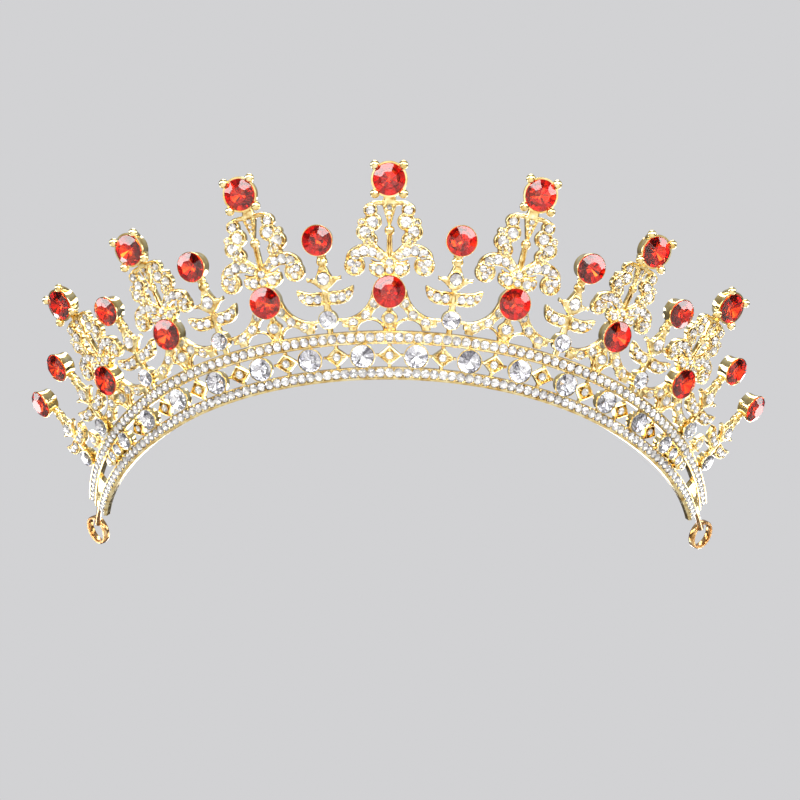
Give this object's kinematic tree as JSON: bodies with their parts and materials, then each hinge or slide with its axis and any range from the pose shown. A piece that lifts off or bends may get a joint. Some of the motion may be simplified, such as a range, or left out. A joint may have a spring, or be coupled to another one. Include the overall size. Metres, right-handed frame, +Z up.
{
  "type": "tiara crown",
  "caption": "Open tiara of cast metal rails and scroll crests set with red and clear glass stones, with a ribbon loop at each end.",
  "frame": {"origin": "midway between the left and right ends and between the front and back, at the level of the foot of the lower rail", "axes": "+Z up, +X to the wearer's left seen from the front as right, -Y towards the front, +Y towards the open side"},
  "size_m": [0.1896, 0.1226, 0.0379],
  "materials": {
    "rail_gold": "bright gold plating over cast alloy rails",
    "ornament_gold": "bright gold plating over fine cast openwork",
    "collet_gold": "bright gold plating, smooth collets and claws",
    "loop_gold": "bright gold plating, plain bent loops",
    "red_glass": "faceted, foil-backed orange-red glass",
    "clear_glass": "faceted, foil-backed clear glass",
    "pave_glass": "small faceted clear glass stones, grain set"
  },
  "bodies": {
    "root": {"lower_rail": "rail_gold", "upper_rail": "rail_gold", "lozenge_frames": "rail_gold", "gallery_cups": "rail_gold", "foot_cups": "collet_gold", "end_web_left": "rail_gold", "end_web_right": "rail_gold", "end_loop_left": "loop_gold", "end_loop_right": "loop_gold", "arch_centre": "ornament_gold", "arch_left_1": "ornament_gold", "arch_left_2": "ornament_gold", "arch_left_3": "ornament_gold", "arch_right_1": "ornament_gold", "arch_right_2": "ornament_gold", "arch_right_3": "ornament_gold", "end_arch_left": "ornament_gold", "end_arch_right": "ornament_gold", "crest_centre": "ornament_gold", "crest_left_1": "ornament_gold", "crest_left_2": "ornament_gold", "crest_left_3": "ornament_gold", "crest_right_1": "ornament_gold", "crest_right_2": "ornament_gold", "crest_right_3": "ornament_gold", "spray_left_1": "ornament_gold", "spray_left_2": "ornament_gold", "spray_left_3": "ornament_gold", "spray_left_4": "ornament_gold", "spray_left_5": "ornament_gold", "spray_right_1": "ornament_gold", "spray_right_2": "ornament_gold", "spray_right_3": "ornament_gold", "spray_right_4": "ornament_gold", "spray_right_5": "ornament_gold", "crest_cups": "collet_gold", "arch_cups": "collet_gold", "spray_cups": "collet_gold", "crest_stones": "red_glass", "arch_stones": "red_glass", "spray_stones": "red_glass", "gallery_crystals": "clear_glass", "lozenge_crystals": "clear_glass", "foot_crystals": "clear_glass", "end_crystals": "clear_glass", "lower_rail_stones": "pave_glass", "upper_rail_stones": "pave_glass", "crest_pave": "pave_glass", "spray_pave": "pave_glass", "arch_pave": "pave_glass"}
  },
  "joints": []
}
